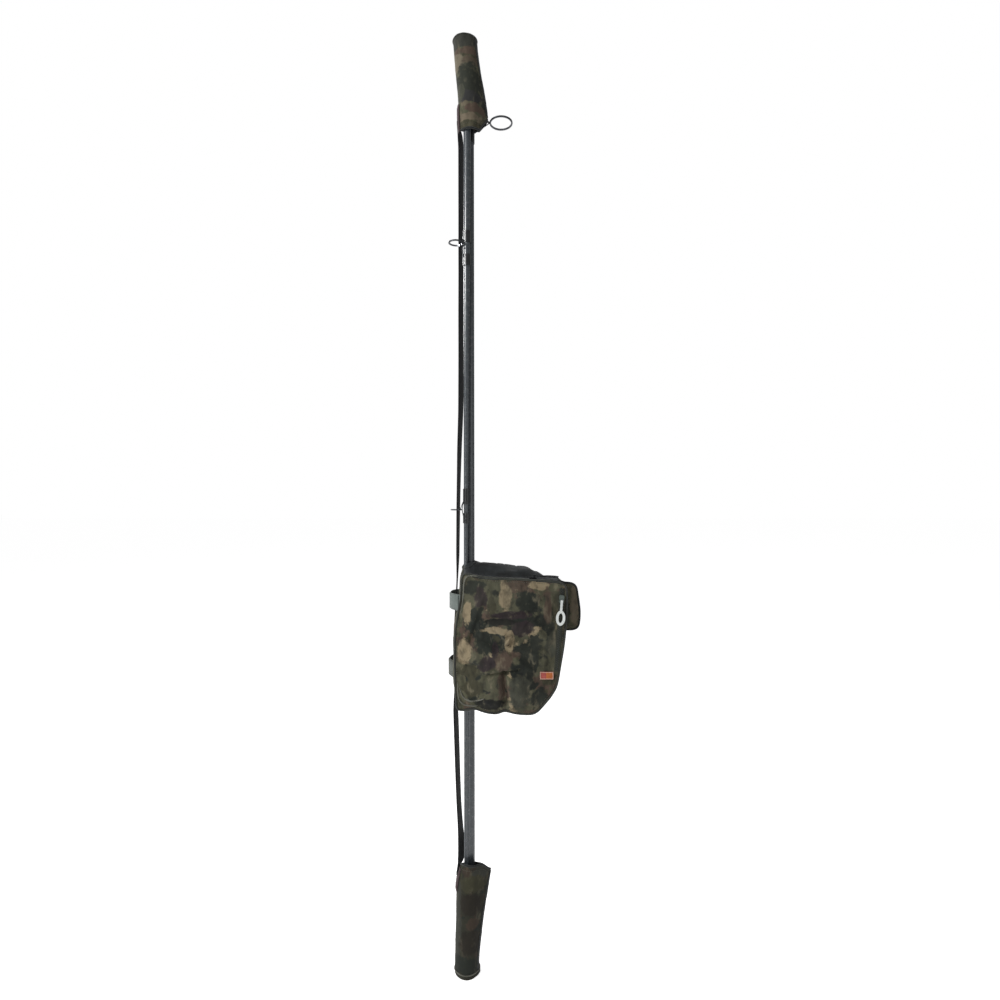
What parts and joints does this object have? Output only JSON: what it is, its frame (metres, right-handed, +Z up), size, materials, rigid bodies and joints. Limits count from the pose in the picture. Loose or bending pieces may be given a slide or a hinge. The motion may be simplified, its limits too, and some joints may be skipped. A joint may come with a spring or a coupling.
{
  "type": "two-section fishing rod with reel case and end sleeves",
  "caption": "Two rod sections carried side by side, in neoprene end sleeves joined by an elastic strap, with a zipped padded case round the reel.",
  "frame": {"origin": "on the butt section's axis, at the flat base of the butt sleeve", "axes": "+Z up along the rod, from butt to tip sleeve; +X from the rod to the reel; +Y to the back of the reel case"},
  "size_m": [0.261, 0.1587, 1.879],
  "materials": {
    "carbon": "satin lacquered carbon fibre",
    "foam": "matt foam",
    "black_metal": "black anodised",
    "ring_metal": "dark gunmetal",
    "ring_liner": "polished",
    "whipping": "varnished thread",
    "seat_plastic": "matt",
    "reel_metal": "satin black",
    "reel_bright": "anodised",
    "reel_knob": "matt",
    "line": "wound line",
    "camo": "camouflage woven fabric",
    "camo_neoprene": "camouflage neoprene",
    "black_fabric": "black webbing and binding",
    "elastic": "ribbed elastic webbing",
    "wrap": "grey-green hook-and-loop",
    "zip_metal": "bright",
    "label": "plain orange woven tag"
  },
  "bodies": {
    "root": {"butt_blank": "carbon", "tip_blank": "carbon", "butt_grip": "foam", "butt_cap": "black_metal", "seat_fixed_hood": "black_metal", "reel_side_plate": "black_metal", "tip_joint_collar": "black_metal", "butt_ring_frame": "ring_metal", "tip_ring_large_frame": "ring_metal", "tip_ring_medium_frame": "ring_metal", "small_ring_frames": "ring_metal", "tip_ring": "ring_metal", "butt_ring_liner": "ring_liner", "tip_ring_large_liner": "ring_liner", "tip_ring_medium_liner": "ring_liner", "small_ring_liners": "ring_liner", "butt_joint_whipping": "whipping", "butt_ring_whippings": "whipping", "tip_whippings": "whipping", "reel_seat": "seat_plastic", "reel_foot": "reel_metal", "reel_housing": "reel_metal", "case_front": "camo", "case_back": "camo", "case_side": "camo", "case_bottom": "camo", "grab_tab": "camo", "case_top": "black_fabric", "case_spine": "black_fabric", "case_bindings": "black_fabric", "grab_tab_binding": "black_fabric", "zip_tape": "black_fabric", "strap_middle": "elastic", "wrap_strap_upper": "wrap", "wrap_strap_lower": "wrap", "label_tab": "label"},
    "tip_sleeve": {"tip_sleeve_shell": "camo_neoprene", "tip_sleeve_cap": "camo_neoprene", "tip_sleeve_hem": "black_fabric", "tip_sleeve_tab": "black_fabric", "strap_upper": "elastic"},
    "butt_sleeve": {"butt_sleeve_shell": "camo_neoprene", "butt_sleeve_base": "camo_neoprene", "butt_sleeve_hem": "black_fabric", "butt_sleeve_tab": "black_fabric", "strap_lower": "elastic"},
    "seat_hood": {"seat_sliding_hood": "black_metal"},
    "seat_nut": {"seat_nut": "black_metal"},
    "rotor": {"rotor": "reel_metal"},
    "bail": {"bail": "reel_bright"},
    "spool": {"spool": "reel_bright", "spool_line": "line", "spool_shaft": "reel_bright"},
    "drag_knob": {"drag_knob": "reel_knob"},
    "crank": {"crank_arm": "reel_metal"},
    "crank_knob": {"crank_knob": "reel_knob"},
    "side_slider": {"zip_slider_side": "zip_metal"},
    "side_puller": {"zip_puller_side": "zip_metal"},
    "top_slider": {"zip_slider_top": "zip_metal"},
    "top_puller": {"zip_puller_top": "zip_metal"}
  },
  "joints": [
    {"name": "tip_sleeve_pull", "type": "slide", "parent": "root", "child": "tip_sleeve", "axis": [0, 0, 1], "range_m": [0, 0.19], "deforming": ["strap_upper"]},
    {"name": "butt_sleeve_pull", "type": "slide", "parent": "root", "child": "butt_sleeve", "axis": [0, 0, -1], "range_m": [0, 0.225], "deforming": ["strap_lower"]},
    {"name": "seat_nut_turn", "type": "hinge", "parent": "seat_hood", "child": "seat_nut", "pos_m": [0, 0, 0.718], "axis": [0, 0, 1], "range_deg": [0, 2880]},
    {"name": "seat_hood_slide", "type": "slide", "parent": "root", "child": "seat_hood", "axis": [0, 0, 1], "range_m": [0, 0.0121]},
    {"name": "rotor_spin", "type": "hinge", "parent": "root", "child": "rotor", "pos_m": [0.08, 0, 0.67], "axis": [0, 0, 1], "continuous": true},
    {"name": "bail_flip", "type": "hinge", "parent": "rotor", "child": "bail", "pos_m": [0.08, 0, 0.716], "axis": [0, -1, 0], "range_deg": [0, 115]},
    {"name": "spool_stroke", "type": "slide", "parent": "root", "child": "spool", "axis": [0, 0, -1], "range_m": [0, 0.015]},
    {"name": "drag_turn", "type": "hinge", "parent": "spool", "child": "drag_knob", "pos_m": [0.08, 0, 0.75], "axis": [0, 0, 1], "continuous": true},
    {"name": "crank_turn", "type": "hinge", "parent": "root", "child": "crank", "pos_m": [0.084, 0.03, 0.636], "axis": [0, 1, 0], "continuous": true},
    {"name": "crank_knob_spin", "type": "hinge", "parent": "crank", "child": "crank_knob", "pos_m": [0.084, 0.06, 0.581], "axis": [0, 1, 0], "continuous": true},
    {"name": "side_zip", "type": "slide", "parent": "root", "child": "side_slider", "axis": [-0.0688, 0, -0.9976], "range_m": [0, 0.125]},
    {"name": "side_puller_hinge", "type": "hinge", "parent": "side_slider", "child": "side_puller", "pos_m": [0.17792, -0.0816, 0.76006], "axis": [-0.9976, 0, 0.0688], "range_deg": [0, 170]},
    {"name": "top_zip", "type": "slide", "parent": "root", "child": "top_slider", "axis": [-0.9988, 0, 0.0491], "range_m": [0, 0.09]},
    {"name": "top_puller_hinge", "type": "hinge", "parent": "top_slider", "child": "top_puller", "pos_m": [0.1272, -0.061, 0.80557], "axis": [0, -1, 0], "range_deg": [0, 170]}
  ],
  "couplings": [
    {"joint": "seat_hood_slide", "follows": "seat_nut_turn", "m_per_rad": 0.00023873},
    {"joint": "crank_turn", "follows": "rotor_spin", "ratio": 0.2439}
  ]
}
